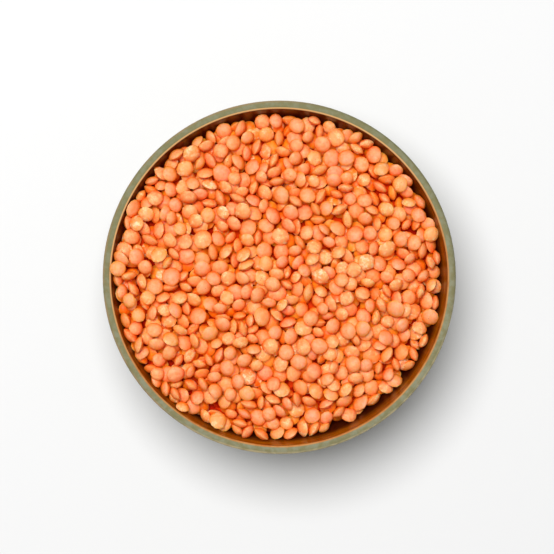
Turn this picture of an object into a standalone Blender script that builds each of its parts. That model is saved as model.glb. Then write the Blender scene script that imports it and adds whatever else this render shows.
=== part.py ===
"""Small stoneware dip bowl filled to the brim with dry red lentils.

Metres, +Z up. The origin is under the middle of the foot, on the surface that the bowl stands on.
Seen from above with +Y up the page, the lentils reach the lip on the left and lie low at the lower right.
"""

import math
import random

import bmesh
import bpy
import numpy as np
from mathutils import Euler, Matrix, Vector

MM = 0.001
MERGE_DISTANCE = 0.01 * MM

# Bowl: both walls are parts of ellipses, whose widest level lies above the rim
RIM_RADIUS = 50.0 * MM
RIM_HEIGHT = 44.0 * MM
LIP_WIDTH = 2.5 * MM
LIP_ROUNDING = 0.9 * MM
LIP_START = RIM_HEIGHT - LIP_ROUNDING
LIP_INSIDE = RIM_RADIUS - LIP_WIDTH
WALL_WIDEST = RIM_HEIGHT + 8.0 * MM
FLOOR_TOP = 6.0 * MM
INNER_REACH = WALL_WIDEST - FLOOR_TOP + 4.0 * MM
INNER_FLOOR_ROUNDING = 1.5 * MM
FOOT_RADIUS = 25.0 * MM
FOOT_HEIGHT = 3.0 * MM
FOOT_RING_WIDTH = 4.0 * MM
FOOT_RECESS = 2.0 * MM
FOOT_CHAMFER = 0.5 * MM
OUTER_REACH = WALL_WIDEST + 3.0 * MM
WALL_ABOVE_FOOT = 2.0 * MM
WALL_STEPS = 5
OUTSIDE_STEP_GROWTH = 1.3  # above 1, the levels lie closer together where the wall curves most
INSIDE_STEP_GROWTH = 0.8
BOWL_SIDES = 60
SHARP_ANGLE = math.radians(40)

# Lentil: a lens, made of a ring of flat sides above and below its edge
LENTIL_DIAMETER = 4.7 * MM
LENTIL_DIAMETER_SPREAD = 0.55 * MM
LENTIL_THICKNESS = 2.5 * MM
LENTIL_THICKNESS_SPREAD = 0.2 * MM
LENTIL_SIDES = 6
CAP_RADIUS_SHARE = 0.58  # of the lentil's radius, where its flat cap ends
CAP_HEIGHT_SHARE = math.sqrt(1 - CAP_RADIUS_SHARE**2)  # of half its thickness

# Heap: how far its mean surface lies above or below the rim
MOUND_ABOVE_RIM = 0.6 * MM
EDGE_DEPTH = 3.6 * MM
LEAN_DEPTH = 2.3 * MM
LEAN_TOWARDS = math.radians(-25)
HOLLOW_DEPTH = 1.5 * MM
HOLLOW_TOWARDS = math.radians(-63)
SLOPE_STEP = 1.0 * MM  # to each side, where the surface's slope is measured

# Core, and the lentils dropped on it
WALL_GAP = 0.35 * MM
CORE_BELOW_SURFACE = 1.7 * MM
CORE_SWELL = 0.2 * MM  # how far the core rises past where the lentils land on it
CORE_EDGE_INSET = 0.9 * MM
CORE_SHOULDER_BELOW_RIM = 12.0 * MM
CORE_FLOOR_BEVEL = 1.0 * MM
CORE_SIDES = 20
CORE_RINGS = 3
LENTILS_AT_WALL = 50
UNEVEN_SPACING = 0.4  # of the even spacing along the wall
LENTILS_AT_WALL_DEPTH = 0.5 * MM  # their middles lie at least this far under the heap's mean surface
LEAST_INSET = 0.3  # of a lentil's diameter, from its middle to the inner edge of the lip
OTHER_LENTILS = 204
CANDIDATES = 40
SINK = 0.7 * MM  # how far a lentil sinks into what it lands on, so that the two are one body
MOST_TILT = math.radians(50)
TILT_BIAS = 1.3  # above 1, more of them lie nearly flat
GRID_STEP = 0.3 * MM
RIM_LENTIL_PLACES = (  # two that carry the third, which lies over the inner edge of the lip
    (-42.3 * MM, 0.6 * MM),
    (-43.2 * MM, 2.4 * MM),
    (-45.9 * MM, 2.5 * MM),
)
SEED = 8

STONEWARE_GREEN = (0.28, 0.27, 0.16, 1.0)
STONEWARE_ROUGHNESS = 0.3
LENTIL_ORANGE = (0.95, 0.30, 0.09, 1.0)
LENTIL_ROUGHNESS = 0.55


def clear_scene():
    for thing in list(bpy.data.objects):
        bpy.data.objects.remove(thing, do_unlink=True)


def material(name, colour, roughness):
    made = bpy.data.materials.new(name)
    made.use_nodes = True
    shader = made.node_tree.nodes["Principled BSDF"]
    shader.inputs["Base Color"].default_value = colour
    shader.inputs["Roughness"].default_value = roughness
    shader.inputs["Metallic"].default_value = 0.0
    return made


def object_from(shape, name, finish, collection):
    mesh = bpy.data.meshes.new(name)
    shape.to_mesh(mesh)
    shape.free()
    mesh.materials.append(finish)
    made = bpy.data.objects.new(name, mesh)
    collection.objects.link(made)
    return made


def on_circle(radius, angle):
    return radius * math.cos(angle), radius * math.sin(angle)


def wall_radius(z, lip_radius, reach):
    """Radius at height z of an ellipse with this reach below its widest level."""
    here = math.sqrt(1 - ((WALL_WIDEST - z) / reach) ** 2)
    at_lip = math.sqrt(1 - ((WALL_WIDEST - LIP_START) / reach) ** 2)
    return lip_radius * here / at_lip


def inner_radius(z):
    return wall_radius(z, LIP_INSIDE, INNER_REACH)


def outer_radius(z):
    return wall_radius(z, RIM_RADIUS, OUTER_REACH)


def bowl_profile():
    """Half section of the bowl, from the middle of its underside out, up, over the lip and down inside."""
    ring_inside = FOOT_RADIUS - FOOT_RING_WIDTH
    points = [
        (0.0, FOOT_RECESS),
        (ring_inside - FOOT_CHAMFER, FOOT_RECESS),
        (ring_inside, 0.0),
        (FOOT_RADIUS - FOOT_CHAMFER, 0.0),
        (FOOT_RADIUS, FOOT_CHAMFER),
        (FOOT_RADIUS, FOOT_HEIGHT),
    ]
    wall_foot = FOOT_HEIGHT + WALL_ABOVE_FOOT
    for step in range(WALL_STEPS + 1):
        z = wall_foot + (LIP_START - wall_foot) * (step / WALL_STEPS) ** OUTSIDE_STEP_GROWTH
        points.append((outer_radius(z), z))
    for edge, turns in ((RIM_RADIUS - LIP_ROUNDING, (45, 90)), (LIP_INSIDE + LIP_ROUNDING, (90, 135))):
        for turn in turns:
            out, up = on_circle(LIP_ROUNDING, math.radians(turn))
            points.append((edge + out, LIP_START + up))
    wall_bottom = FLOOR_TOP + INNER_FLOOR_ROUNDING
    for step in range(WALL_STEPS):
        z = LIP_START + (wall_bottom - LIP_START) * (step / (WALL_STEPS - 1)) ** INSIDE_STEP_GROWTH
        points.append((inner_radius(z), z))
    points.append((0.0, FLOOR_TOP))
    return points


def make_bowl(finish):
    """The half section turned round Z into one closed body."""
    shape = bmesh.new()
    corners = [shape.verts.new((radius, 0.0, z)) for radius, z in bowl_profile()]
    edges = [shape.edges.new(pair) for pair in zip(corners, corners[1:])]
    bmesh.ops.spin(
        shape,
        geom=corners + edges,
        axis=(0, 0, 1),
        cent=(0, 0, 0),
        steps=BOWL_SIDES,
        angle=2 * math.pi,
    )
    bmesh.ops.remove_doubles(shape, verts=shape.verts, dist=MERGE_DISTANCE)
    bmesh.ops.recalc_face_normals(shape, faces=shape.faces)
    bowl = object_from(shape, "bowl", finish, bpy.context.scene.collection)
    bowl.data.shade_smooth()
    bowl.data.set_sharp_from_angle(angle=SHARP_ANGLE)


def heap_height(x, y):
    """Height of the heap's mean surface: mounded in the middle, low towards the lower right."""
    share = np.hypot(x, y) / LIP_INSIDE
    angle = np.arctan2(y, x)
    edge = (
        EDGE_DEPTH
        + LEAN_DEPTH * np.cos(angle - LEAN_TOWARDS)
        + HOLLOW_DEPTH * np.cos(2 * (angle - HOLLOW_TOWARDS))
    )
    return RIM_HEIGHT + MOUND_ABOVE_RIM * (1 - share**2) - edge * share**2


def heap_normal(x, y):
    rise_x = heap_height(x + SLOPE_STEP, y) - heap_height(x - SLOPE_STEP, y)
    rise_y = heap_height(x, y + SLOPE_STEP) - heap_height(x, y - SLOPE_STEP)
    return Vector((-rise_x, -rise_y, 2 * SLOPE_STEP)).normalized()


def core_height(x, y):
    return heap_height(x, y) - CORE_BELOW_SURFACE + CORE_SWELL


def core_ring(shape, radius, z=None):
    """Corners round the core: at height z, or on its top where no z is given."""
    corners = []
    for side in range(CORE_SIDES):
        x, y = on_circle(radius, 2 * math.pi * side / CORE_SIDES)
        corners.append(shape.verts.new((x, y, core_height(x, y) if z is None else z)))
    return corners


def make_core(finish):
    """What carries the lentils that show: it fills the bowl up to a little under the heap's surface."""
    shape = bmesh.new()
    bottom = FLOOR_TOP + WALL_GAP
    shoulder = RIM_HEIGHT - CORE_SHOULDER_BELOW_RIM
    lowest = bottom + INNER_FLOOR_ROUNDING + CORE_FLOOR_BEVEL
    rings = []
    for z in (lowest, (lowest + shoulder) / 2, shoulder):
        rings.append(core_ring(shape, inner_radius(z - WALL_GAP) - WALL_GAP, z))
    edge = inner_radius(RIM_HEIGHT - EDGE_DEPTH - LEAN_DEPTH) - WALL_GAP - CORE_EDGE_INSET
    for step in range(CORE_RINGS, 0, -1):
        rings.append(core_ring(shape, edge * step / CORE_RINGS))
    top_middle = shape.verts.new((0, 0, core_height(0, 0)))
    bottom_middle = shape.verts.new((0, 0, bottom))
    for side in range(CORE_SIDES):
        after = (side + 1) % CORE_SIDES
        for lower, upper in zip(rings, rings[1:]):
            shape.faces.new((lower[side], lower[after], upper[after], upper[side]))
        shape.faces.new((rings[-1][side], rings[-1][after], top_middle))
        shape.faces.new((rings[0][after], rings[0][side], bottom_middle))
    bmesh.ops.recalc_face_normals(shape, faces=shape.faces)
    return object_from(shape, "lentils", finish, bpy.context.scene.collection)


def lentil_shape(diameter, thickness, pose):
    """A lens of flat sides: lower cap, edge and upper cap, each a ring of corners."""
    shape = bmesh.new()
    rings = []
    for share, height in (
        (CAP_RADIUS_SHARE, -CAP_HEIGHT_SHARE),
        (1.0, 0.0),
        (CAP_RADIUS_SHARE, CAP_HEIGHT_SHARE),
    ):
        ring = []
        for side in range(LENTIL_SIDES):
            x, y = on_circle(share * diameter / 2, 2 * math.pi * side / LENTIL_SIDES)
            ring.append(shape.verts.new(pose @ Vector((x, y, height * thickness / 2))))
        rings.append(ring)
    for lower, upper in zip(rings, rings[1:]):
        for side in range(LENTIL_SIDES):
            after = (side + 1) % LENTIL_SIDES
            shape.faces.new((lower[side], lower[after], upper[after], upper[side]))
    shape.faces.new(list(reversed(rings[0])))
    shape.faces.new(rings[-1])
    return shape


def ground_under_lentils():
    """Height of what a lentil lands on, at each point of a square grid: the core, the wall or the lip."""
    reach = int(RIM_RADIUS / GRID_STEP)
    line = np.arange(-reach, reach + 1) * GRID_STEP
    x, y = np.meshgrid(line, line, indexing="ij")
    beside = np.hypot(x, y) + WALL_GAP
    at_lip = math.sqrt(1 - ((WALL_WIDEST - LIP_START) / INNER_REACH) ** 2)
    share = np.minimum(beside / LIP_INSIDE, 1) * at_lip
    wall = WALL_WIDEST - INNER_REACH * np.sqrt(1 - share**2)
    bowl = np.where(beside < LIP_INSIDE, wall, RIM_HEIGHT)
    return np.maximum(bowl + WALL_GAP + SINK, heap_height(x, y) - CORE_BELOW_SURFACE)


def lens_over(turn, diameter, thickness):
    """A turned lens over a patch of the grid: where it is, and its underside and top from its centre."""
    reach = int(0.5 * diameter / GRID_STEP) + 1
    line = np.arange(-reach, reach + 1) * GRID_STEP
    x, y = np.meshgrid(line, line, indexing="ij")
    shape = Matrix.Diagonal(((2 / diameter) ** 2, (2 / diameter) ** 2, (2 / thickness) ** 2))
    shape = np.array(turn @ shape @ turn.transposed())
    slope = shape[0, 2] * x + shape[1, 2] * y
    rest = shape[0, 0] * x**2 + 2 * shape[0, 1] * x * y + shape[1, 1] * y**2 - 1
    root = slope**2 - shape[2, 2] * rest
    inside = root > 0
    root = np.sqrt(np.where(inside, root, 0))
    return inside, (-slope - root) / shape[2, 2], (-slope + root) / shape[2, 2]


def patch_round(ground, x, y, size):
    """The square of the ground grid, size points wide, whose middle is at x, y."""
    middle = ground.shape[0] // 2
    row = middle + round(x / GRID_STEP) - size // 2
    column = middle + round(y / GRID_STEP) - size // 2
    return ground[row : row + size, column : column + size]


def land(ground, lens, x, y):
    """Height of the lens's centre once it has come down at x, y and sunk in a little."""
    inside, underside, _ = lens
    patch = patch_round(ground, x, y, len(inside))
    return (patch - underside)[inside].max() - SINK


def settle(ground, lens, x, y, height):
    """Raises the ground to the top of the lens that now lies there."""
    inside, _, top = lens
    patch = patch_round(ground, x, y, len(inside))
    patch[inside] = np.maximum(patch[inside], height + top[inside])


def place_rim_lentils(ground, finish, group):
    """A few at the left, laid flat one on another, the last of them over the inner edge of the lip."""
    lens = lens_over(Matrix.Identity(3), LENTIL_DIAMETER, LENTIL_THICKNESS)
    for number, (x, y) in enumerate(RIM_LENTIL_PLACES):
        height = land(ground, lens, x, y)
        settle(ground, lens, x, y, height)
        shape = lentil_shape(LENTIL_DIAMETER, LENTIL_THICKNESS, Matrix.Translation((x, y, height)))
        object_from(shape, f"rim_lentil_{number}", finish, group)


def tipped(draw):
    """A random way to lie on a level surface: nearly flat for most."""
    tip = Euler((MOST_TILT * draw.random() ** TILT_BIAS, 0, 0)).to_matrix()
    return Matrix.Rotation(2 * math.pi * draw.random(), 3, "Z") @ tip


def try_place(ground, turn, diameter, thickness, radius, angle):
    """How far above the heap's mean surface a lentil comes to rest there, and its place, turn and lens."""
    x, y = on_circle(radius, angle)
    x, y = GRID_STEP * round(x / GRID_STEP), GRID_STEP * round(y / GRID_STEP)
    turn = Vector((0, 0, 1)).rotation_difference(heap_normal(x, y)).to_matrix() @ turn
    lens = lens_over(turn, diameter, thickness)
    height = land(ground, lens, x, y)
    return height - heap_height(x, y), (x, y, height), turn, lens


def place_at_wall(draw, ground, diameter, thickness, angle):
    """As far out in this direction as a lentil gets before the wall lifts it."""
    turn = tipped(draw)
    radius = LIP_INSIDE - LEAST_INSET * diameter
    found = try_place(ground, turn, diameter, thickness, radius, angle)
    while found[0] > -LENTILS_AT_WALL_DEPTH and radius > LIP_INSIDE - 2 * diameter:
        radius -= GRID_STEP / 2
        found = try_place(ground, turn, diameter, thickness, radius, angle)
    return found


def place_lowest(draw, ground, diameter, thickness):
    """Of a few random places, the one where a lentil tipped one way lies deepest in the heap's surface."""
    turn = tipped(draw)
    found = []
    for _ in range(CANDIDATES):
        radius = (LIP_INSIDE - LEAST_INSET * diameter) * math.sqrt(draw.random())
        angle = 2 * math.pi * draw.random()
        found.append(try_place(ground, turn, diameter, thickness, radius, angle))
    return min(found, key=lambda place: place[0])


def random_sizes(draw, count):
    """Diameter and thickness of each of a number of lentils, the largest first."""
    sizes = [max(-1.0, min(1.0, draw.gauss(0, 0.5))) for _ in range(count)]
    for size in sorted(sizes, reverse=True):
        diameter = LENTIL_DIAMETER + LENTIL_DIAMETER_SPREAD * size
        yield diameter, LENTIL_THICKNESS + LENTIL_THICKNESS_SPREAD * size


def place_lentils(ground, finish, group):
    """A row round the wall, then the rest where they lie deepest, which spreads them evenly."""
    draw = random.Random(SEED)
    placed = []
    order = list(range(LENTILS_AT_WALL))
    draw.shuffle(order)
    for number, (diameter, thickness) in zip(order, random_sizes(draw, LENTILS_AT_WALL)):
        angle = 2 * math.pi * (number + UNEVEN_SPACING * draw.random()) / LENTILS_AT_WALL
        _, place, turn, lens = place_at_wall(draw, ground, diameter, thickness, angle)
        settle(ground, lens, *place)
        placed.append((diameter, thickness, Matrix.Translation(place) @ turn.to_4x4()))
    for diameter, thickness in random_sizes(draw, OTHER_LENTILS):
        _, place, turn, lens = place_lowest(draw, ground, diameter, thickness)
        settle(ground, lens, *place)
        placed.append((diameter, thickness, Matrix.Translation(place) @ turn.to_4x4()))
    for number, lentil in enumerate(placed):
        object_from(lentil_shape(*lentil), f"lentil_{number}", finish, group)


def fuse(core, group):
    """One union of the core and all the lentils, after which the separate ones go."""
    union = core.modifiers.new("fuse", "BOOLEAN")
    union.operation = "UNION"
    union.operand_type = "COLLECTION"
    union.collection = group
    union.solver = "EXACT"
    bpy.context.view_layer.objects.active = core
    bpy.ops.object.modifier_apply(modifier=union.name)
    for piece in list(group.objects):
        bpy.data.objects.remove(piece, do_unlink=True)
    bpy.data.collections.remove(group)


def keep_largest_shell(thing):
    """Drops lentils that touch nothing, and fills sealed hollows by dropping their inner shells."""
    shape = bmesh.new()
    shape.from_mesh(thing.data)
    left = set(shape.verts)
    shells = []
    while left:
        shell = []
        reached = [left.pop()]
        while reached:
            corner = reached.pop()
            shell.append(corner)
            beside = {edge.other_vert(corner) for edge in corner.link_edges} & left
            left -= beside
            reached += beside
        shells.append(shell)
    shells.remove(max(shells, key=len))
    bmesh.ops.delete(shape, geom=[corner for shell in shells for corner in shell], context="VERTS")
    bmesh.ops.triangulate(shape, faces=shape.faces)
    shape.to_mesh(thing.data)
    shape.free()


def make_lentils(finish):
    core = make_core(finish)
    group = bpy.data.collections.new("separate_lentils")
    bpy.context.scene.collection.children.link(group)
    ground = ground_under_lentils()
    place_rim_lentils(ground, finish, group)
    place_lentils(ground, finish, group)
    fuse(core, group)
    keep_largest_shell(core)


clear_scene()
make_bowl(material("glazed_stoneware", STONEWARE_GREEN, STONEWARE_ROUGHNESS))
make_lentils(material("lentil_skin", LENTIL_ORANGE, LENTIL_ROUGHNESS))
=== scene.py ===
"""Small stoneware dip bowl filled to the brim with dry red lentils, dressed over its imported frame.

Metres, +Z up, seen from straight above with +Y up the picture. The lentils reach the lip on the left
and lie low at the lower right, where the glazed wall shows.
"""

import math
import random
from collections import namedtuple

import bmesh
import bpy
import numpy as np
from mathutils import Matrix, Vector
from mathutils.bvhtree import BVHTree


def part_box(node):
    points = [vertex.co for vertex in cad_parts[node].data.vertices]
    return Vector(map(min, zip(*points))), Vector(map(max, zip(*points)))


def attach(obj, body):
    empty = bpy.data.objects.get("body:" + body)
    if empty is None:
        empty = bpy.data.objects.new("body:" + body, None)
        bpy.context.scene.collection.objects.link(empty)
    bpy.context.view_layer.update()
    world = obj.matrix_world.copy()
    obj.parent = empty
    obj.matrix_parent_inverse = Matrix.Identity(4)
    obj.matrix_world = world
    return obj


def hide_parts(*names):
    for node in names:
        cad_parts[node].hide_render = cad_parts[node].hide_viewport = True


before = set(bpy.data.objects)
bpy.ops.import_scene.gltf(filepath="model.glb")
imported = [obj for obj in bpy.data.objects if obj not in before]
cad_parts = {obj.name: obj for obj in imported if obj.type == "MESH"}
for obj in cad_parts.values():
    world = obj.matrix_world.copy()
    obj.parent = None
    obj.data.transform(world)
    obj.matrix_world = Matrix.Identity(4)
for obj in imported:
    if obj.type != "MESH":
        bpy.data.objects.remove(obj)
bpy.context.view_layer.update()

MM = 0.001
FULL_TURN = 2 * math.pi
bowl_low, bowl_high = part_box("bowl")

# Bowl: both walls are parts of ellipses, whose widest level lies above the rim
RIM_RADIUS = (bowl_high.x - bowl_low.x) / 2
RIM_HEIGHT = bowl_high.z
LIP_WIDTH = 2.5 * MM
LIP_ROUNDING = 0.9 * MM
LIP_START = RIM_HEIGHT - LIP_ROUNDING
LIP_INSIDE = RIM_RADIUS - LIP_WIDTH
WALL_WIDEST = RIM_HEIGHT + 8.0 * MM
FLOOR_TOP = 6.0 * MM
FLOOR_DISH = 0.5 * MM
INNER_FLOOR_ROUNDING = 1.5 * MM
INNER_REACH = WALL_WIDEST - FLOOR_TOP + 4.0 * MM
OUTER_REACH = WALL_WIDEST + 3.0 * MM
FOOT_RADIUS = 25.0 * MM
FOOT_HEIGHT = 3.0 * MM
FOOT_RING_WIDTH = 4.0 * MM
FOOT_RECESS = 2.0 * MM
FOOT_ROUNDING = 0.7 * MM
FOOT_FLARE = 0.1 * MM
WALL_FOOT = FOOT_HEIGHT + 2.0 * MM
BOWL_SIDES = 144
OUTSIDE_STEPS = 24
OUTSIDE_STEP_GROWTH = 1.2
INSIDE_STEPS = 26
INSIDE_STEP_GROWTH = 0.9
ARC_STEPS = 5
RECESS_STEPS = (0.05, 0.3, 0.6, 0.85, 0.97)
FLOOR_STEPS = (0.8, 0.5, 0.2, 0.05)
MERGE_DISTANCE = 0.001 * MM
SHARP_ANGLE = math.radians(50)

# Traces of the potter's hands; a wave is how often it goes round, its phase and its share
THROWN_RING_DEPTH = 0.07 * MM
THROWN_RING_PITCH = 3.4 * MM
THROWN_RING_LEAN = 0.8
THROWN_FADE = 3.0 * MM
THROWN_FROM_RADIUS = FOOT_RADIUS + 0.5 * MM
HAND_WOBBLE = 0.12 * MM
HAND_WAVES = ((2, 0.7, 0.6), (3, 2.1, 0.4))
LIP_DIP = 0.1 * MM
LIP_WAVE = (3, 1.3, 1.0)
LIP_DIP_FADE = 8  # the power of the height that the dip fades with down the wall

# Heap: how far its mean surface lies above or below the rim
MOUND_ABOVE_RIM = 0.6 * MM
EDGE_DEPTH = 3.6 * MM
LEAN_DEPTH = 2.3 * MM
LEAN_TOWARDS = math.radians(-25)
HOLLOW_DEPTH = 1.5 * MM
HOLLOW_TOWARDS = math.radians(-63)

# Core under the loose lentils
CORE_BELOW_SURFACE = 6.2 * MM
CORE_GAP = 0.3 * MM
CORE_SEGMENTS = 64
CORE_RINGS = 32
CORE_SIDE_SHARE = 0.8  # of the lower half's rings, the share that lies on the wall
CORE_FLOOR_SHARE = 0.2
ON_EQUATOR = 0.001  # how near its middle level a corner of a ball counts as on it

# Lentils
LENTIL_DIAMETER = 5.05 * MM
LENTIL_DIAMETER_SPREAD = 0.85 * MM
LENTIL_THICKNESS = 2.7 * MM
LENTIL_THICKNESS_SPREAD = 0.25 * MM
LENTIL_SEGMENTS = 12
LENTIL_RINGS = 6
EDGE_KEENNESS = 1.42  # 1 is a flattened ball, more is a lens with a keener edge
LEAST_ROUND = 0.9
DENTS = 0.045
DENTS_ALONG_NORMAL = 0.6
SMOOTHING = 0.5
LENTIL_SHAPES = 8
LENTIL_SIZES = 12
KIND_SPREAD = 3.0
LENTIL_COUNT = 1000
RIM_LENTIL_PLACE = (-45.6 * MM, 2.4 * MM)
RIM_LENTIL_GAP = 0.02 * MM

# Settling, done at a hundred times real size, because the solver is made for things of about a metre
BIG = 100.0
BIG_GRAVITY = 98.1
SETTLE_FRAMES = 40
SPARE_FRAMES = 5
SETTLE_SUBSTEPS = 8
SOLVER_ITERATIONS = 12
SOLVER_MARGIN = 0.002
LENTIL_FRICTION = 0.9
WALL_FRICTION = 0.5
SLIDING_DAMPED = 0.15
TURNING_DAMPED = 0.75
STAND_IN_SEGMENTS = 8
STAND_IN_RINGS = 6

# The ground that they settle on, levels and radius in millimetres
GROUND_WALL_LEVELS = (20, 25, 30, 34, 37, 40, 42, 43.1)
GUARD_LEVELS = (44.5, 60, 90)
GUARD_RADIUS = 47.65
GROUND_WALL_SIDES = 96
GROUND_TOP_SIDES = 48
GROUND_TOP_RINGS = 10

# The places that they fall from
START_SPACING = 5.9 * MM
START_LAYER = 4.4 * MM
START_ABOVE_CORE = 2.6 * MM
START_HALF_ROW = 10
START_JITTER = 0.3  # millimetres
FIRST_LAYER_INSET = 5.0  # millimetres
LAYER_INSET = 2.7  # millimetres

# Afterwards the heap is skimmed, and lentils near the wall are moved up to it
SKIM_ABOVE_SURFACE = 0.4 * MM
WALL_NUDGE = 0.7 * MM
WALL_GAP = 0.04 * MM
NUDGED_FROM = 38.0 * MM
NUDGED_FULLY = 43.5 * MM

SEED = 11

LentilShape = namedtuple("LentilShape", "corners faces rim")
Lentil = namedtuple("Lentil", "shape points tone scuff")


def deselect_all():
    bpy.ops.object.select_all(action="DESELECT")


def make_active(piece):
    deselect_all()
    piece.select_set(True)
    bpy.context.view_layer.objects.active = piece


def on_circle(radius, angle):
    return radius * math.cos(angle), radius * math.sin(angle)


# The bowl's section


def wall_radius(z, lip_radius, reach):
    """Radius at height z of an ellipse of this reach below its widest level."""
    here = math.sqrt(1 - ((WALL_WIDEST - z) / reach) ** 2)
    at_lip = math.sqrt(1 - ((WALL_WIDEST - LIP_START) / reach) ** 2)
    return lip_radius * here / at_lip


def inner_radius(z):
    return wall_radius(z, LIP_INSIDE, INNER_REACH)


def outer_radius(z):
    return wall_radius(z, RIM_RADIUS, OUTER_REACH)


def arc(middle, radius, start, end):
    """Points on an arc of the section, from one angle to another, in degrees."""
    points = []
    for step in range(ARC_STEPS + 1):
        out, up = on_circle(radius, math.radians(start + (end - start) * step / ARC_STEPS))
        points.append((middle[0] + out, middle[1] + up))
    return points


def foot_section():
    """From the recess under the bowl round the ring it stands on."""
    ring_inside = FOOT_RADIUS - FOOT_RING_WIDTH
    points = [(share * ring_inside, FOOT_RECESS) for share in RECESS_STEPS]
    points += arc((ring_inside + FOOT_ROUNDING, FOOT_ROUNDING), FOOT_ROUNDING, 180, 270)
    points += arc((FOOT_RADIUS - FOOT_ROUNDING, FOOT_ROUNDING), FOOT_ROUNDING, 270, 360)
    points += [(FOOT_RADIUS, FOOT_HEIGHT - FOOT_ROUNDING), (FOOT_RADIUS + FOOT_FLARE, FOOT_HEIGHT)]
    return points


def outside_section():
    points = []
    for step in range(OUTSIDE_STEPS):
        z = WALL_FOOT + (LIP_START - WALL_FOOT) * (step / OUTSIDE_STEPS) ** OUTSIDE_STEP_GROWTH
        points.append((outer_radius(z), z))
    return points


def lip_section():
    outer = arc((RIM_RADIUS - LIP_ROUNDING, LIP_START), LIP_ROUNDING, 0, 90)
    inner = arc((LIP_INSIDE + LIP_ROUNDING, LIP_START), LIP_ROUNDING, 90, 180)
    return outer + inner


def inside_section():
    wall_bottom = FLOOR_TOP + INNER_FLOOR_ROUNDING
    points = []
    for step in range(1, INSIDE_STEPS + 1):
        z = LIP_START + (wall_bottom - LIP_START) * (step / INSIDE_STEPS) ** INSIDE_STEP_GROWTH
        points.append((inner_radius(z), z))
    for share in FLOOR_STEPS:
        points.append((share * inner_radius(wall_bottom), FLOOR_TOP + FLOOR_DISH * share))
    return points


def path_lengths(section):
    """Each section point's distance along the glaze from the middle of the lip, positive inside."""
    lengths = [0.0]
    for (radius, z), (next_radius, next_z) in zip(section, section[1:]):
        lengths.append(lengths[-1] + math.hypot(next_radius - radius, next_z - z))
    top = len(foot_section()) + len(outside_section()) + ARC_STEPS
    middle = (lengths[top] + lengths[top + 1]) / 2
    return [length - middle for length in lengths]


# The bowl


def turn_section(name, section):
    """A disc whose edge is drawn out ring by ring along the section, then drawn in to a point."""
    radius, z = section[0]
    deselect_all()
    bpy.ops.mesh.primitive_circle_add(
        vertices=BOWL_SIDES, radius=radius, fill_type="TRIFAN", location=(0, 0, z)
    )
    piece = bpy.context.object
    piece.name = name
    bpy.ops.object.transform_apply(location=True, rotation=True, scale=True)
    bpy.ops.object.mode_set(mode="EDIT")
    bpy.ops.mesh.select_mode(type="EDGE")
    bpy.ops.mesh.select_all(action="DESELECT")
    bpy.ops.mesh.select_non_manifold()
    for next_radius, next_z in section[1:]:
        bpy.ops.mesh.extrude_edges_move(TRANSFORM_OT_translate={"value": (0, 0, next_z - z)})
        grown = next_radius / radius
        bpy.ops.transform.resize(value=(grown, grown, 1), center_override=(0, 0, next_z))
        radius = next_radius
        z = next_z
    bpy.ops.mesh.extrude_edges_move(TRANSFORM_OT_translate={"value": (0, 0, 0)})
    bpy.ops.mesh.merge(type="CENTER")
    bpy.ops.mesh.select_all(action="SELECT")
    bpy.ops.mesh.remove_doubles(threshold=MERGE_DISTANCE)
    bpy.ops.mesh.normals_make_consistent(inside=False)
    bpy.ops.object.mode_set(mode="OBJECT")
    return piece


def mark_path(piece, section):
    """Stores on each corner its distance along the glaze from the middle of the lip, in millimetres."""
    points = np.array(section)
    lengths = np.array(path_lengths(section)) / MM
    places = np.empty(len(piece.data.vertices) * 3)
    piece.data.vertices.foreach_get("co", places)
    places = places.reshape(-1, 3)
    radius = np.hypot(places[:, 0], places[:, 1])
    apart = (radius[:, None] - points[:, 0]) ** 2 + (places[:, 2][:, None] - points[:, 1]) ** 2
    marks = piece.data.attributes.new("glaze_path", "FLOAT", "POINT")
    marks.data.foreach_set("value", lengths[apart.argmin(axis=1)].astype(np.float32))


def wave(angle, turns, phase, share):
    return share * math.sin(turns * angle + phase)


def thrown_inwards(angle, z):
    """How far the outside and inside of the wall lie inwards of the true section here."""
    ring = math.sin(FULL_TURN * z / THROWN_RING_PITCH + THROWN_RING_LEAN * math.sin(angle))
    fade = min(1.0, (RIM_HEIGHT - z) / THROWN_FADE, (z - WALL_FOOT) / THROWN_FADE)
    wobble = sum(wave(angle, *hand) for hand in HAND_WAVES)
    return THROWN_RING_DEPTH * (1 + ring) * fade + HAND_WOBBLE * (1 + wobble) / 2


def hand_thrown(piece):
    """Faint rings round the wall and a slow wobble, as a thrown bowl has."""
    for corner in piece.data.vertices:
        x, y, z = corner.co
        radius = math.hypot(x, y)
        if radius < THROWN_FROM_RADIUS or z < WALL_FOOT:
            continue
        angle = math.atan2(y, x)
        inwards = thrown_inwards(angle, z)
        dip = LIP_DIP * (1 + wave(angle, *LIP_WAVE)) / 2
        corner.co.x = x * (1 - inwards / radius)
        corner.co.y = y * (1 - inwards / radius)
        corner.co.z = z - dip * (z / RIM_HEIGHT) ** LIP_DIP_FADE


def make_bowl(finish):
    section = foot_section() + outside_section() + lip_section() + inside_section()
    bowl = turn_section("bowl_body", section)
    mark_path(bowl, section)
    hand_thrown(bowl)
    bowl.data.materials.append(finish)
    make_active(bowl)
    bpy.ops.object.shade_smooth_by_angle(angle=SHARP_ANGLE)
    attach(bowl, "root")
    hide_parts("bowl")
    return bowl


# The heap's surface and its core


def heap_height(x, y):
    """Height of the heap's mean surface: mounded in the middle, low towards the lower right."""
    share = math.hypot(x, y) / LIP_INSIDE
    angle = math.atan2(y, x)
    edge = (
        EDGE_DEPTH
        + LEAN_DEPTH * math.cos(angle - LEAN_TOWARDS)
        + HOLLOW_DEPTH * math.cos(2 * (angle - HOLLOW_TOWARDS))
    )
    return RIM_HEIGHT + MOUND_ABOVE_RIM * (1 - share**2) - edge * share**2


def core_height(x, y):
    return heap_height(x, y) - CORE_BELOW_SURFACE


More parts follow.
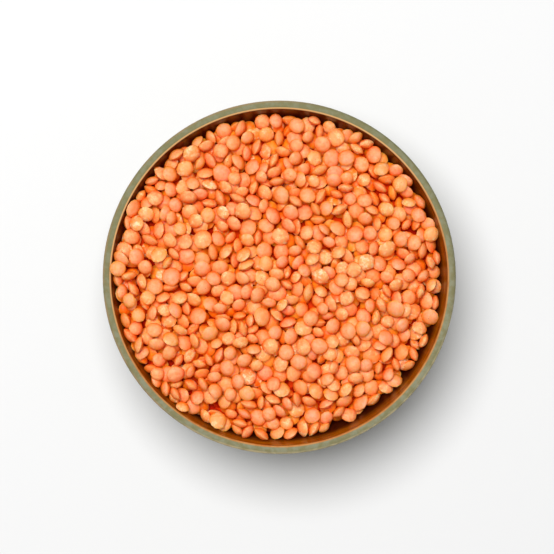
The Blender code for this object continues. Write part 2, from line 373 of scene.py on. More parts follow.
def core_top_corner(share, angle, edge):
    """A corner of the core's top, this share of the way from the middle to the wall."""
    z = core_height(*on_circle(edge * share, angle))
    x, y = on_circle((inner_radius(z) - CORE_GAP) * share, angle)
    return x, y, core_height(x, y)


def core_side_corner(share, angle, edge, deep):
    """A corner of the core's side or floor, this deep on the way from its edge to its lowest point."""
    top = core_height(*on_circle(edge, angle))
    bottom = FLOOR_TOP + INNER_FLOOR_ROUNDING + CORE_GAP
    z = top + (bottom - top) * min(1.0, deep / CORE_SIDE_SHARE)
    x, y = on_circle((inner_radius(z) - CORE_GAP) * min(1.0, share / CORE_FLOOR_SHARE), angle)
    return x, y, z


def make_core(finish):
    """What fills the bowl under the loose lentils: a ball pressed into it, heaped on top."""
    deselect_all()
    bpy.ops.mesh.primitive_uv_sphere_add(segments=CORE_SEGMENTS, ring_count=CORE_RINGS, radius=1.0)
    core = bpy.context.object
    core.name = "lentils_core"
    edge = inner_radius(RIM_HEIGHT - EDGE_DEPTH - CORE_BELOW_SURFACE) - CORE_GAP
    for corner in core.data.vertices:
        x, y, z = corner.co
        angle = math.atan2(y, x)
        share = 2 * math.asin(min(1.0, math.hypot(x, y))) / math.pi
        if z >= -ON_EQUATOR:
            corner.co = core_top_corner(share, angle, edge)
        else:
            deep = 2 * math.asin(min(1.0, -z)) / math.pi
            corner.co = core_side_corner(share, angle, edge, deep)
    core.data.materials.append(finish)
    make_active(core)
    bpy.ops.object.shade_smooth()
    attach(core, "root")
    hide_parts("lentils")


# Settling the lentils


def size_of(kind):
    """Diameter and thickness of a lentil of one of the kinds, from the smallest to the largest."""
    spread = 2 * kind / (LENTIL_SIZES - 1) - 1
    diameter = LENTIL_DIAMETER + LENTIL_DIAMETER_SPREAD * spread
    return diameter, LENTIL_THICKNESS + LENTIL_THICKNESS_SPREAD * spread


def draw_to_an_edge(ball):
    """Turns a ball, 1 across, into a lens with a keener edge."""
    for corner in ball.data.vertices:
        height = 2 * corner.co.z
        corner.co.z = math.copysign(abs(height) ** EDGE_KEENNESS / 2, height)


def settling_stand_in(kind):
    """A lens of few corners, for the solver alone."""
    diameter, thickness = size_of(kind)
    deselect_all()
    bpy.ops.mesh.primitive_uv_sphere_add(
        segments=STAND_IN_SEGMENTS, ring_count=STAND_IN_RINGS, radius=0.5
    )
    lens = bpy.context.object
    lens.name = f"settling_lens_{kind}"
    draw_to_an_edge(lens)
    bpy.ops.object.mode_set(mode="EDIT")
    bpy.ops.mesh.select_all(action="SELECT")
    bpy.ops.transform.resize(value=(diameter * BIG, diameter * BIG, thickness * BIG))
    bpy.ops.object.mode_set(mode="OBJECT")
    mesh = lens.data
    bpy.data.objects.remove(lens, do_unlink=True)
    return mesh


def join_rings(shape, rings, flipped):
    """Faces between each ring of corners and the next."""
    for near, far in zip(rings, rings[1:]):
        for side in range(len(near)):
            after = (side + 1) % len(near)
            if flipped:
                shape.faces.new((near[side], near[after], far[after], far[side]))
            else:
                shape.faces.new((near[side], far[side], far[after], near[after]))


def ground_wall(shape):
    """The bowl's wall and a guard above the lip."""
    levels = [(inner_radius(z * MM) / MM, z) for z in GROUND_WALL_LEVELS]
    levels += [(GUARD_RADIUS, z) for z in GUARD_LEVELS]
    rings = []
    for radius, z in levels:
        ring = []
        for side in range(GROUND_WALL_SIDES):
            x, y = on_circle(radius * MM * BIG, FULL_TURN * side / GROUND_WALL_SIDES)
            ring.append(shape.verts.new((x, y, z * MM * BIG)))
        rings.append(ring)
    join_rings(shape, rings, flipped=False)


def ground_top(shape):
    """The core's top, out to the wall."""
    rings = []
    for step in range(GROUND_TOP_RINGS, 0, -1):
        ring = []
        for side in range(GROUND_TOP_SIDES):
            angle = FULL_TURN * side / GROUND_TOP_SIDES
            x, y = on_circle(LIP_INSIDE * step / GROUND_TOP_RINGS, angle)
            ring.append(shape.verts.new((x * BIG, y * BIG, core_height(x, y) * BIG)))
        rings.append(ring)
    middle = shape.verts.new((0, 0, core_height(0, 0) * BIG))
    join_rings(shape, rings, flipped=True)
    for side in range(GROUND_TOP_SIDES):
        after = (side + 1) % GROUND_TOP_SIDES
        shape.faces.new((rings[-1][side], rings[-1][after], middle))


def settling_ground():
    """What the lentils fall into, at the solver's size."""
    shape = bmesh.new()
    ground_wall(shape)
    ground_top(shape)
    mesh = bpy.data.meshes.new("settling_ground")
    shape.to_mesh(mesh)
    shape.free()
    ground = bpy.data.objects.new("settling_ground", mesh)
    bpy.context.scene.collection.objects.link(ground)
    return ground


def start_places(draw):
    """Loose layers of places over the core, from which the lentils fall."""
    places = []
    row = START_SPACING * math.sqrt(3) / 2
    rows = int(LIP_INSIDE / row)
    layer = 0
    while len(places) < LENTIL_COUNT:
        reach = LIP_INSIDE - (FIRST_LAYER_INSET if layer == 0 else LAYER_INSET) * MM
        for i in range(-rows, rows + 1):
            for j in range(-START_HALF_ROW, START_HALF_ROW + 1):
                x = (j + 0.5 * (i % 2)) * START_SPACING + draw.uniform(-START_JITTER, START_JITTER) * MM
                y = i * row + draw.uniform(-START_JITTER, START_JITTER) * MM
                if math.hypot(x, y) < reach and len(places) < LENTIL_COUNT:
                    z = core_height(x, y) + START_ABOVE_CORE + START_LAYER * layer
                    places.append((x * BIG, y * BIG, z * BIG))
        layer += 1
    return places


def make_fallers(draw):
    """The stand-ins at the places they fall from, turned every way, and the kind of each."""
    lenses = [settling_stand_in(kind) for kind in range(LENTIL_SIZES)]
    fallers = []
    kinds = []
    for number, place in enumerate(start_places(draw)):
        kind = min(LENTIL_SIZES - 1, max(0, int(draw.gauss(LENTIL_SIZES / 2, KIND_SPREAD))))
        faller = bpy.data.objects.new(f"settling_{number}", lenses[kind])
        faller.location = place
        faller.rotation_euler = [draw.uniform(0, FULL_TURN) for _ in range(3)]
        bpy.context.scene.collection.objects.link(faller)
        fallers.append(faller)
        kinds.append(kind)
    return fallers, kinds


def start_solver():
    bpy.ops.rigidbody.world_add()
    scene = bpy.context.scene
    scene.gravity = (0, 0, -BIG_GRAVITY)
    world = scene.rigidbody_world
    world.substeps_per_frame = SETTLE_SUBSTEPS
    world.solver_iterations = SOLVER_ITERATIONS
    world.point_cache.frame_end = SETTLE_FRAMES + SPARE_FRAMES


def as_rigid_bodies(pieces, kind, shape, friction):
    deselect_all()
    for piece in pieces:
        piece.select_set(True)
    bpy.context.view_layer.objects.active = pieces[0]
    bpy.ops.rigidbody.objects_add(type=kind)
    for piece in pieces:
        body = piece.rigid_body
        body.collision_shape = shape
        body.use_margin = True
        body.collision_margin = SOLVER_MARGIN
        body.friction = friction
        body.restitution = 0.0
        body.linear_damping = SLIDING_DAMPED
        body.angular_damping = TURNING_DAMPED
        body.use_deactivation = False


def place_of(faller):
    """Where a stand-in lies, as a matrix at true size."""
    place = faller.matrix_world.copy()
    place.translation /= BIG
    return place


def is_in_heap(middle):
    return middle.z < heap_height(middle.x, middle.y) + SKIM_ABOVE_SURFACE


def settle():
    """Drops the lentils into the bowl, skims the heap and returns each one's kind and place."""
    ground = settling_ground()
    fallers, kinds = make_fallers(random.Random(SEED))
    start_solver()
    as_rigid_bodies(fallers, "ACTIVE", "CONVEX_HULL", LENTIL_FRICTION)
    as_rigid_bodies([ground], "PASSIVE", "MESH", WALL_FRICTION)
    scene = bpy.context.scene
    for number in range(1, SETTLE_FRAMES + 1):
        scene.frame_set(number)
    found = [(kind, place_of(faller)) for faller, kind in zip(fallers, kinds)]
    scene.frame_set(1)
    bpy.ops.rigidbody.world_remove()
    for piece in fallers + [ground]:
        bpy.data.objects.remove(piece, do_unlink=True)
    return [(kind, place) for kind, place in found if is_in_heap(place.translation)]


# The lentils that show


def model_lentil(number):
    """One lentil, 1 across and 1 thick: a ball drawn to a keener edge, out of round and dented."""
    draw = random.Random(SEED + number)
    deselect_all()
    bpy.ops.mesh.primitive_uv_sphere_add(
        segments=LENTIL_SEGMENTS, ring_count=LENTIL_RINGS, radius=0.5
    )
    lentil = bpy.context.object
    lentil.name = f"lentil_shape_{number}"
    rim = [abs(corner.co.z) < ON_EQUATOR for corner in lentil.data.vertices]
    bpy.ops.object.mode_set(mode="EDIT")
    bpy.ops.mesh.select_all(action="SELECT")
    bpy.ops.transform.resize(value=(1.0, draw.uniform(LEAST_ROUND, 1.0), 1.0))
    bpy.ops.transform.vertex_random(offset=DENTS, uniform=0.0, normal=DENTS_ALONG_NORMAL, seed=number + 1)
    bpy.ops.mesh.vertices_smooth(factor=SMOOTHING)
    bpy.ops.object.mode_set(mode="OBJECT")
    draw_to_an_edge(lentil)
    corners = np.array([corner.co for corner in lentil.data.vertices])
    faces = [tuple(face.vertices) for face in lentil.data.polygons]
    bpy.data.objects.remove(lentil, do_unlink=True)
    return LentilShape(corners, faces, rim)


def against_wall(points):
    """Moves a lentil that lies near the wall up to it, and one that is in the wall out of it."""
    middle = points.mean(axis=0)
    radius = math.hypot(middle[0], middle[1])
    room = 1.0
    for x, y, z in points:
        wall = inner_radius(z) if z < LIP_START else LIP_INSIDE
        room = min(room, wall - math.hypot(x, y))
    near = min(1.0, max(0.0, (radius - NUDGED_FROM) / (NUDGED_FULLY - NUDGED_FROM)))
    step = min(WALL_NUDGE * near, room - WALL_GAP)
    return points + np.array((middle[0], middle[1], 0)) * step / radius


def settled_lentil(shapes, kind, place, draw):
    """A lentil of one of the shapes where a stand-in came to rest."""
    shape = shapes[draw.randrange(LENTIL_SHAPES)]
    diameter, thickness = size_of(kind)
    turned = np.array(place @ Matrix.Rotation(draw.uniform(0, FULL_TURN), 4, "Z"))
    points = shape.corners * (diameter, diameter, thickness)
    points = against_wall(points @ turned[:3, :3].T + turned[:3, 3])
    return Lentil(shape, points, draw.random(), draw.random())


def rest_height(corners, trees):
    """How far these corners have to rise for the lowest of them to lie on what is under them."""
    highest = 0.0
    for x, y, z in corners:
        for tree in trees:
            hit = tree.ray_cast(Vector((x, y, 2 * RIM_HEIGHT)), Vector((0, 0, -1)))[0]
            if hit is not None:
                highest = max(highest, hit.z - z)
    return highest


def rim_lentil(shape, lentils, bowl, draw):
    """The one that lies out over the lip on the left, level, on the others and the lip."""
    bowl_corners = [corner.co for corner in bowl.data.vertices]
    bowl_faces = [tuple(face.vertices) for face in bowl.data.polygons]
    trees = [
        BVHTree.FromPolygons(*joined(lentils)),
        BVHTree.FromPolygons(bowl_corners, bowl_faces),
    ]
    points = shape.corners * (LENTIL_DIAMETER, LENTIL_DIAMETER, LENTIL_THICKNESS)
    points = points + (*RIM_LENTIL_PLACE, 0)
    points[:, 2] += rest_height(points, trees) + RIM_LENTIL_GAP
    return Lentil(shape, points, draw.random(), draw.random())


def joined(lentils):
    """The corners and faces of all the lentils, numbered on from each to the next."""
    corners = []
    faces = []
    for lentil in lentils:
        start = len(corners)
        faces.extend(tuple(start + index for index in face) for face in lentil.shape.faces)
        corners.extend(lentil.points.tolist())
    return corners, faces


def lentil_marks(lentils):
    """What the skin's material reads on each corner, by the name of the mark."""
    marks = {"tone": [], "scuff": [], "edge": [], "level": []}
    for lentil in lentils:
        x, y, z = lentil.points.mean(axis=0)
        size = len(lentil.points)
        marks["tone"].extend([lentil.tone] * size)
        marks["scuff"].extend([lentil.scuff] * size)
        marks["edge"].extend(2 * np.hypot(lentil.shape.corners[:, 0], lentil.shape.corners[:, 1]))
        marks["level"].extend([z - heap_height(x, y)] * size)
    return marks


def keep_rims_keen(mesh, lentils):
    """Marks the edges round each lentil's rim as sharp."""
    on_rim = [corner for lentil in lentils for corner in lentil.shape.rim]
    keen = mesh.attributes.new("sharp_edge", "BOOLEAN", "EDGE")
    keen.data.foreach_set("value", [all(on_rim[end] for end in edge.vertices) for edge in mesh.edges])


def make_lentils(finish, places, bowl):
    """All the loose lentils as one mesh, each with its own tint, scuffs and glints, and marks for painted
    light and shade.
    """
    shapes = [model_lentil(number) for number in range(LENTIL_SHAPES)]
    draw = random.Random(SEED)
    lentils = [settled_lentil(shapes, kind, place, draw) for kind, place in places]
    lentils.append(rim_lentil(shapes[0], lentils, bowl, draw))
    corners, faces = joined(lentils)
    mesh = bpy.data.meshes.new("lentils_loose")
    mesh.from_pydata(corners, [], faces)
    marks = lentil_marks(lentils)
    marks["skyward"] = [normal.vector.z for normal in mesh.vertex_normals]
    for name, values in marks.items():
        stored = mesh.attributes.new(name, "FLOAT", "POINT")
        stored.data.foreach_set("value", np.array(values, np.float32))
    mesh.shade_smooth()
    keep_rims_keen(mesh, lentils)
    mesh.materials.append(finish)
    piece = bpy.data.objects.new("lentils_loose", mesh)
    bpy.context.scene.collection.objects.link(piece)
    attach(piece, "root")
    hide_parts("lentils")


# Materials


def mottle_group():
    """Soft blotches on Object coordinates: Size is their width in metres, Stretch squeezes them in Z."""
    group = bpy.data.node_groups.new("mottle", "ShaderNodeTree")
    for name, start in (("Size", 0.001), ("Low", 0.4), ("High", 0.6), ("Stretch", 1.0)):
        socket = group.interface.new_socket(name, in_out="INPUT", socket_type="NodeSocketFloat")
        socket.default_value = start
    group.interface.new_socket("Mask", in_out="OUTPUT", socket_type="NodeSocketFloat")
    nodes = group.nodes
    links = group.links
    given = nodes.new("NodeGroupInput")
    result = nodes.new("NodeGroupOutput")
    place = nodes.new("ShaderNodeTexCoord")
    stretch = nodes.new("ShaderNodeCombineXYZ")
    stretch.inputs["X"].default_value = 1.0
    stretch.inputs["Y"].default_value = 1.0
    links.new(given.outputs["Stretch"], stretch.inputs["Z"])
    squeezed = nodes.new("ShaderNodeVectorMath")
    squeezed.operation = "MULTIPLY"
    links.new(place.outputs["Object"], squeezed.inputs[0])
    links.new(stretch.outputs["Vector"], squeezed.inputs[1])
    scale = nodes.new("ShaderNodeMath")
    scale.operation = "DIVIDE"
    scale.inputs[0].default_value = 1.0
    links.new(given.outputs["Size"], scale.inputs[1])
    noise = nodes.new("ShaderNodeTexNoise")
    noise.inputs["Detail"].default_value = 3.0
    links.new(squeezed.outputs["Vector"], noise.inputs["Vector"])
    links.new(scale.outputs["Value"], noise.inputs["Scale"])
    limits = nodes.new("ShaderNodeMapRange")
    limits.interpolation_type = "SMOOTHSTEP"
    links.new(noise.outputs["Fac"], limits.inputs["Value"])
    links.new(given.outputs["Low"], limits.inputs["From Min"])
    links.new(given.outputs["High"], limits.inputs["From Max"])
    links.new(limits.outputs["Result"], result.inputs["Mask"])


# A mix node's sockets for colours, by number, as other kinds have the same names
COLOUR_MIX_INPUTS = (0, 6, 7)
COLOUR_MIX_RESULT = 2


class Finish:
    """A material, with the steps that its colours and masks are mixed in."""

    def __init__(self, name):
        self.material = bpy.data.materials.new(name)
        self.material.use_nodes = True
        self.nodes = self.material.node_tree.nodes
        self.links = self.material.node_tree.links
        self.shader = self.nodes["Principled BSDF"]

    def feed(self, socket, value):
        """Links an output to a socket, or sets the socket where the value is a plain one."""
        if isinstance(value, bpy.types.NodeSocket):
            self.links.new(value, socket)
        else:
            socket.default_value = value

    def set(self, name, value):
        self.feed(self.shader.inputs[name], value)

    def mark(self, name):
        """A mark that is stored on the piece's corners."""
        made = self.nodes.new("ShaderNodeAttribute")
        made.attribute_name = name
        return made.outputs["Fac"]

    def along(self, angle):
        """Distance from the bowl's axis in the direction of this angle, in metres."""
        place = self.nodes.new("ShaderNodeTexCoord")
        made = self.nodes.new("ShaderNodeVectorMath")
        made.operation = "DOT_PRODUCT"
        made.inputs[1].default_value = (*on_circle(1.0, angle), 0.0)
        self.links.new(place.outputs["Object"], made.inputs[0])
        return made.outputs["Value"]

    def mottle(self, size, low, high, stretch=1.0):
        made = self.nodes.new("ShaderNodeGroup")
        made.node_tree = bpy.data.node_groups["mottle"]
        made.inputs["Size"].default_value = size
        made.inputs["Low"].default_value = low
        made.inputs["High"].default_value = high
        made.inputs["Stretch"].default_value = stretch
        return made.outputs["Mask"]

    def mask(self, value, low, high):
        """0 where the value is at low or short of it, 1 where it is at high or past it."""
        made = self.nodes.new("ShaderNodeMapRange")
        made.interpolation_type = "SMOOTHSTEP"
        made.inputs["From Min"].default_value = low
        made.inputs["From Max"].default_value = high
        self.links.new(value, made.inputs["Value"])
        return made.outputs["Result"]

    def scaled(self, mask, low, high):
        """Values from low, where the mask is 0, to high, where it is 1."""
        made = self.nodes.new("ShaderNodeMapRange")
        made.inputs["To Min"].default_value = low
        made.inputs["To Max"].default_value = high
        self.links.new(mask, made.inputs["Value"])
        return made.outputs["Result"]

    def times(self, *factors):
        """The product of masks and plain numbers."""
        product = factors[0]
        for factor in factors[1:]:
            made = self.nodes.new("ShaderNodeMath")
            made.operation = "MULTIPLY"
            self.feed(made.inputs[0], product)
            self.feed(made.inputs[1], factor)
            product = made.outputs["Value"]
        return product

    def blend(self, first, second, mask):
        """A value that goes from the first to the second where the mask says."""
        made = self.nodes.new("ShaderNodeMix")
        self.feed(made.inputs["Factor"], mask)
        self.feed(made.inputs["A"], first)
        self.feed(made.inputs["B"], second)
        return made.outputs["Result"]

    def layer(self, under, over, mask):
        """A colour laid on another where the mask says."""
        made = self.nodes.new("ShaderNodeMix")
        made.data_type = "RGBA"
        factor, under_colour, over_colour = (made.inputs[index] for index in COLOUR_MIX_INPUTS)
        self.feed(factor, mask)
        self.feed(under_colour, under)
        self.feed(over_colour, over)
        return made.outputs[COLOUR_MIX_RESULT]

    def ramp(self, value, stops):
        """Colours by value, through these (position, colour) stops."""
        made = self.nodes.new("ShaderNodeValToRGB")
        elements = made.color_ramp.elements
        while len(elements) < len(stops):
            elements.new(0.5)
        for element, (position, colour) in zip(elements, stops):
            element.position = position
            element.color = colour
        self.links.new(value, made.inputs["Fac"])
        return made.outputs["Color"]

    def bump(self, height, depth, strength):
        made = self.nodes.new("ShaderNodeBump")
        made.inputs["Distance"].default_value = depth
        made.inputs["Strength"].default_value = strength
        self.links.new(height, made.inputs["Height"])
        self.links.new(made.outputs["Normal"], self.shader.inputs["Normal"])


# Glaze: where each change begins and ends on the path over the lip, in millimetres from its middle
OUTER_EDGE_OF_LIP = (-0.4, -1.1)
LIP_FROM_OUTSIDE = (-3.2, -1.9)
GREEN_TO_BREAK = (0.62, 0.82)
BREAK_TO_AMBER = (1.1, 1.4)
AMBER_SHADE_DEEPENS = (3.0, 8.0)
# Painted shade: the amber darkens from here down the wall, where the lip and the lentils shade it
GLOSS_BEGINS = (0.5, 1.6)
GLAZE_TO_CLAY = (-48.6, -49.4)

# Where each change across the bowl begins and ends: the first two from its axis towards the far side,
# where the wall lies in its own shade, and the last one from its axis to the left
SHADED_WALL = math.radians(110)
FAR_SIDE = (-20.0 * MM, 30.0 * MM)
NEAR_SIDE = (-15.0 * MM, -45.0 * MM)
LEFT_SIDE = (-20.0 * MM, 10.0 * MM)

# Patterns of mottle: the width of a blotch, where its mask begins and is full, and the squeeze in Z
LICHEN_PATCHES = (1.6 * MM, 0.38, 0.66)
RUST_SPECKS = (0.45 * MM, 0.58, 0.72)
TAN_STRETCHES = (6.0 * MM, 0.3, 0.6)
UNEVEN_EDGE = (2.2 * MM, 0.38, 0.62)
BROWN_STREAKS = (9.0 * MM, 0.42, 0.6, 30.0)
HONEY_STREAKS = (7.0 * MM, 0.54, 0.68, 45.0)
BREAK_PATCHES = (2.5 * MM, 0.4, 0.6)
CLAY_GRAINS = (0.5 * MM, 0.5, 0.7)
GLAZE_PITS = (0.9 * MM, 0.2, 0.8)
GLAZE_PIT_DEPTH = 0.05 * MM

MOSS = (0.185, 0.172, 0.080, 1)
LICHEN = (0.225, 0.225, 0.14, 1)
RUST = (0.27, 0.19, 0.09, 1)
TAN = (0.37, 0.25, 0.13, 1)
# Painted light: a pale tan laid on the lip's outer edge on the near side, where its rounding turns away
# from the light
PAINTED_LIGHT_TAN = (0.50, 0.42, 0.24, 1)
# Painted shade: a deeper green laid on the lip on the far side
PAINTED_SHADE_MOSS = (0.15, 0.145, 0.055, 1)
AMBER = (0.36, 0.095, 0.001, 1)
BROWN = (0.17, 0.03, 0.001, 1)
HONEY = (0.50, 0.18, 0.004, 1)
# Painted shade: near black brown down the inside wall
PAINTED_SHADE_BROWN = (0.045, 0.006, 0.001, 1)
# Painted shade: the inside wall darkened on the far side, which faces away from the light
PAINTED_SHADE_RED_BROWN = (0.06, 0.006, 0.001, 1)
BREAK_TAN = (0.50, 0.24, 0.08, 1)
BREAK_BROWN = (0.46, 0.18, 0.05, 1)
# Painted light: a paler break line on the far side, where the lip's inner edge faces away from the light
BREAK_PAINTED_LIGHT = (0.74, 0.44, 0.18, 1)
CLAY = (0.52, 0.36, 0.22, 1)
CLAY_GRIT = (0.38, 0.24, 0.13, 1)


def green_glaze(finish, path, shaded):
    """Mottled green with rust specks, tan along the lip's outer edge, painted light on its near side,
    painted shade on the far lip.
    """
    green = finish.layer(MOSS, LICHEN, finish.mottle(*LICHEN_PATCHES))
    green = finish.layer(green, RUST, finish.mottle(*RUST_SPECKS))
    on_lip = finish.mask(path, *LIP_FROM_OUTSIDE)
    outer_edge = finish.times(finish.mask(path, *OUTER_EDGE_OF_LIP), on_lip)
    left_side = finish.mask(finish.along(math.pi), *LEFT_SIDE)
    tan_line = finish.times(outer_edge, finish.mottle(*TAN_STRETCHES), left_side)
    green = finish.layer(green, TAN, tan_line)
    near_side = finish.mask(finish.along(SHADED_WALL), *NEAR_SIDE)
    uneven = finish.scaled(finish.mottle(*UNEVEN_EDGE), 0.35, 1.0)
    # Painted light: the outer edge made paler on the near side, broken up by mottle
    green = finish.layer(green, PAINTED_LIGHT_TAN, finish.times(near_side, outer_edge, uneven))
    # Painted shade: the lip darkened on the far side
    return finish.layer(green, PAINTED_SHADE_MOSS, finish.times(shaded, on_lip, 0.3))


def amber_glaze(finish, path, shaded):
    """Streaks of amber, brown and honey round the inside with painted shade, under a tan line where the
    glaze breaks.
    """
    amber = finish.layer(AMBER, BROWN, finish.mottle(*BROWN_STREAKS))
    amber = finish.layer(amber, HONEY, finish.mottle(*HONEY_STREAKS))
    # Painted shade: darker down the wall
    amber = finish.layer(amber, PAINTED_SHADE_BROWN, finish.mask(path, *AMBER_SHADE_DEEPENS))
    # Painted shade on the far side of the inside wall
    amber = finish.layer(amber, PAINTED_SHADE_RED_BROWN, finish.times(shaded, 0.8))
    line = finish.layer(BREAK_TAN, BREAK_BROWN, finish.mottle(*BREAK_PATCHES))
    # Painted light: the break line made paler on the far side
    line = finish.layer(line, BREAK_PAINTED_LIGHT, finish.times(shaded, 0.9))
    return finish.layer(line, amber, finish.mask(path, *BREAK_TO_AMBER))


def glaze_material():
    """Green outside and on the lip, amber brown inside, bare clay below."""
    finish = Finish("stoneware_glaze")
    path = finish.mark("glaze_path")
    shaded = finish.mask(finish.along(SHADED_WALL), *FAR_SIDE)
    green = green_glaze(finish, path, shaded)
    amber = amber_glaze(finish, path, shaded)
    glazed = finish.layer(green, amber, finish.mask(path, *GREEN_TO_BREAK))
    clay = finish.layer(CLAY, CLAY_GRIT, finish.mottle(*CLAY_GRAINS))
    bare = finish.mask(path, *GLAZE_TO_CLAY)
    finish.set("Base Color", finish.layer(glazed, clay, bare))
    gloss = finish.blend(0.55, 0.28, finish.mask(path, *GLOSS_BEGINS))
    finish.set("Roughness", finish.blend(gloss, 0.85, bare))
    finish.set("Specular IOR Level", 0.13)
    finish.bump(finish.mottle(*GLAZE_PITS), GLAZE_PIT_DEPTH, 0.5)
    return finish.material


# Lentils: where each change begins and ends, by how far the skin faces up (1 is straight up), by a
# lentil's height over the heap's mean surface, by the way out to its rim, and by its draw of pale scuffs
# and painted glints
TURNED_AWAY = (0.4, 0.0)
FACES_UP = (0.25, 0.95)
CATCHES_LIGHT = (0.1, 0.6)
LIES_ON_TOP = (-4.5 * MM, -1.4 * MM)
NEAR_RIM = (0.8, 1.0)
SCUFF_AND_GLINT_SHARE = (0.35, 0.95)
# Painted glints go on the few lentils whose draw lies in this range
GLINT_SHARE = (0.92, 0.99)

# Patterns of mottle on the lentils and the core
# Painted light on the tops of the upper lentils is broken up into these patches
TOP_LIGHT_PATCHES = (1.2 * MM, 0.35, 0.6)
SCUFF_AND_GLINT_PATCHES = (1.7 * MM, 0.52, 0.62)
SCUFF_AND_GLINT_GRAIN = (0.35 * MM, 0.4, 0.6)
GLINT_PATCHES = (1.1 * MM, 0.5, 0.62)
DARK_SPECKS = (0.5 * MM, 0.68, 0.73)
GLOSS_PATCHES = (0.8 * MM, 0.3, 0.7)
SKIN_GRAIN = (0.35 * MM, 0.3, 0.7)
SKIN_GRAIN_DEPTH = 0.04 * MM
SHADE_PATCHES = (3.5 * MM, 0.45, 0.55)
CORE_LUMPS = (3.5 * MM, 0.4, 0.6)
CORE_LUMP_DEPTH = 0.8 * MM

# Lentil skins, from the reddest to the yellowest, with their painted light and shade, scuffs, glints and
# specks
SKIN_TINTS = (
    (0.0, (0.97, 0.145, 0.002, 1)),
    (0.3, (0.98, 0.19, 0.003, 1)),
    (0.8, (0.99, 0.235, 0.006, 1)),
    (1.0, (0.99, 0.31, 0.02, 1)),
)
# Painted shade: a deeper red for skin that turns away from the light
UNDERSIDE_SHADE_RED = (0.95, 0.06, 0.001, 1)
# Painted light: pink and gold laid on the upward faces of the lentils that lie on top
TOP_LIGHT_PINK = (1.0, 0.37, 0.195, 1)
TOP_LIGHT_GOLD = (1.0, 0.43, 0.16, 1)
# Painted highlight: gold on the rims that face up towards the light
RIM_HIGHLIGHT_GOLD = (1.0, 0.46, 0.14, 1)
# Pale scuffs, partly real wear on the skin and partly painted glints
SCUFF_AND_GLINT = (1.0, 0.62, 0.31, 1)
# Painted glints: pale spots on the upward faces of a few lentils
GLINT_PALE = (1.0, 0.72, 0.46, 1)
SPECK = (0.35, 0.07, 0.01, 1)
DEEP_RED = (0.85, 0.05, 0.002, 1)
DARK_RED = (0.50, 0.012, 0.001, 1)


def lit_and_shaded_skin(finish, upward):
    """Orange skin with painted shade, deeper where it turns away, and painted light on the lentils on
    top.
    """
    skyward = finish.mark("skyward")
    skin = finish.ramp(finish.mark("tone"), SKIN_TINTS)
    # Painted shade: deeper red where the skin turns away from the light
    skin = finish.layer(skin, UNDERSIDE_SHADE_RED, finish.times(finish.mask(skyward, *TURNED_AWAY), 0.6))
    # Painted light falls only on lentils near the top of the heap, and only on their upward faces
    on_top = finish.mask(finish.mark("level"), *LIES_ON_TOP)
    patchy = finish.scaled(finish.mottle(*TOP_LIGHT_PATCHES), 0.6, 1.0)
    # Painted light: each lentil's draw picks pink or gold
    top_light = finish.layer(TOP_LIGHT_PINK, TOP_LIGHT_GOLD, finish.mark("scuff"))
    skin = finish.layer(skin, top_light, finish.times(upward, on_top, patchy))
    lit = finish.mask(skyward, *CATCHES_LIGHT)
    rim = finish.mask(finish.mark("edge"), *NEAR_RIM)
    # Painted highlight along the lit rims
    return finish.layer(skin, RIM_HIGHLIGHT_GOLD, finish.times(rim, lit, 0.7))


def lentil_material():
    """Orange skin with painted light and shade, pale scuffs that also paint glints, a few painted glints
    and dark specks.
    """
    finish = Finish("lentil_skin")
    upward = finish.mask(finish.mark("skyward"), *FACES_UP)
    skin = lit_and_shaded_skin(finish, upward)
    scuff = finish.mark("scuff")
    # Pale scuffs on a share of the lentils, which also stand in for painted glints
    grain = finish.scaled(finish.mottle(*SCUFF_AND_GLINT_GRAIN), 0.25, 0.9)
    scuffs_and_glints = finish.times(finish.mask(scuff, *SCUFF_AND_GLINT_SHARE), finish.mottle(*SCUFF_AND_GLINT_PATCHES), grain)
    skin = finish.layer(skin, SCUFF_AND_GLINT, scuffs_and_glints)
    # Painted glints: pale spots on the upward faces of a few lentils
    glints = finish.times(finish.mask(scuff, *GLINT_SHARE), upward, finish.mottle(*GLINT_PATCHES))
    skin = finish.layer(skin, GLINT_PALE, finish.times(glints, 0.7))
    skin = finish.layer(skin, SPECK, finish.times(finish.mottle(*DARK_SPECKS), 0.7))
    finish.set("Base Color", skin)
    finish.set("Roughness", finish.scaled(finish.mottle(*GLOSS_PATCHES), 0.38, 0.55))
    finish.set("Specular IOR Level", 0.3)
    finish.set("Subsurface Weight", 0.7)
    finish.set("Subsurface Radius", (1.0, 0.4, 0.2))
    finish.set("Subsurface Scale", 1.0 * MM)
    finish.bump(finish.mottle(*SKIN_GRAIN), SKIN_GRAIN_DEPTH, 0.6)
    return finish.material


def core_material():
    """The lentils that lie deeper, all in shade."""
    finish = Finish("lentils_in_shade")
    finish.set("Base Color", finish.layer(DEEP_RED, DARK_RED, finish.mottle(*SHADE_PATCHES)))
    finish.set("Roughness", 0.8)
    finish.set("Specular IOR Level", 0.05)
    finish.bump(finish.mottle(*CORE_LUMPS), CORE_LUMP_DEPTH, 1.0)
    return finish.material


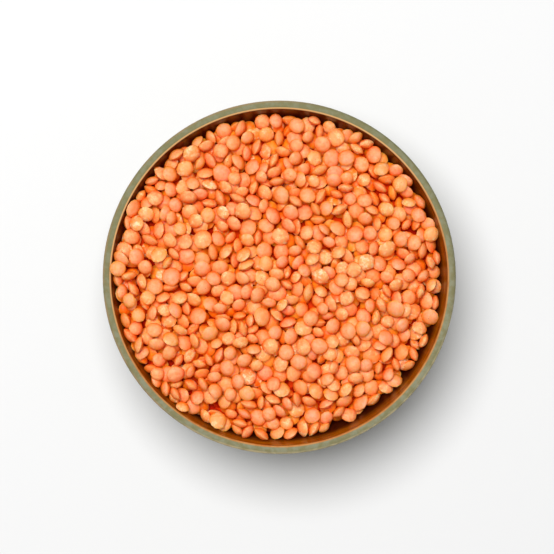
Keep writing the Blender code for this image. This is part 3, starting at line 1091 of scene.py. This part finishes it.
# Floor, light and camera
FLOOR_SIZE = 4.0
FLOOR_GREY = (0.785, 0.785, 0.785, 1)
WINDOW_SIZE = 0.6
WINDOW_WATTS = 13.9
WINDOW_DISTANCE = 1.1
WINDOW_TOWARDS = (-0.117, 0.211, 1.0)
ROOM_WHITE = (1, 1, 1, 1)
ROOM_STRENGTH = 0.18
FILM_WIDTH = 36.0
CAMERA_ABOVE_RIM = 556.0 * MM
RIM_IN_PICTURE = 177.2 / 554  # the rim's radius as a share of the picture's width
CAMERA_PLACE = (-0.68 * MM, 0.08 * MM)


def floor_material():
    finish = Finish("pale_table")
    finish.set("Base Color", FLOOR_GREY)
    finish.set("Roughness", 0.8)
    return finish.material


def make_floor():
    deselect_all()
    bpy.ops.mesh.primitive_plane_add(size=FLOOR_SIZE, location=(0, 0, bowl_low.z))
    floor = bpy.context.object
    floor.name = "floor"
    floor.data.materials.append(floor_material())


def make_light():
    """A round window high on the far side, and a pale room."""
    lamp = bpy.data.lights.new("window", "AREA")
    lamp.shape = "DISK"
    lamp.size = WINDOW_SIZE
    lamp.energy = WINDOW_WATTS
    window = bpy.data.objects.new("window", lamp)
    towards = Vector(WINDOW_TOWARDS).normalized()
    window.location = towards * WINDOW_DISTANCE
    window.rotation_euler = towards.to_track_quat("Z", "Y").to_euler()
    bpy.context.scene.collection.objects.link(window)
    room = bpy.data.worlds.new("room")
    room.use_nodes = True
    backdrop = room.node_tree.nodes["Background"]
    backdrop.inputs["Color"].default_value = ROOM_WHITE
    backdrop.inputs["Strength"].default_value = ROOM_STRENGTH
    bpy.context.scene.world = room


def make_camera():
    lens = bpy.data.cameras.new("overhead")
    lens.sensor_width = FILM_WIDTH
    lens.lens = RIM_IN_PICTURE * FILM_WIDTH * CAMERA_ABOVE_RIM / RIM_RADIUS
    camera = bpy.data.objects.new("overhead", lens)
    camera.location = (*CAMERA_PLACE, RIM_HEIGHT + CAMERA_ABOVE_RIM)
    bpy.context.scene.collection.objects.link(camera)
    bpy.context.scene.camera = camera


make_camera()
make_floor()
make_light()
mottle_group()
bowl = make_bowl(glaze_material())
make_core(core_material())
make_lentils(lentil_material(), settle(), bowl)
bpy.context.scene.view_settings.view_transform = "Standard"
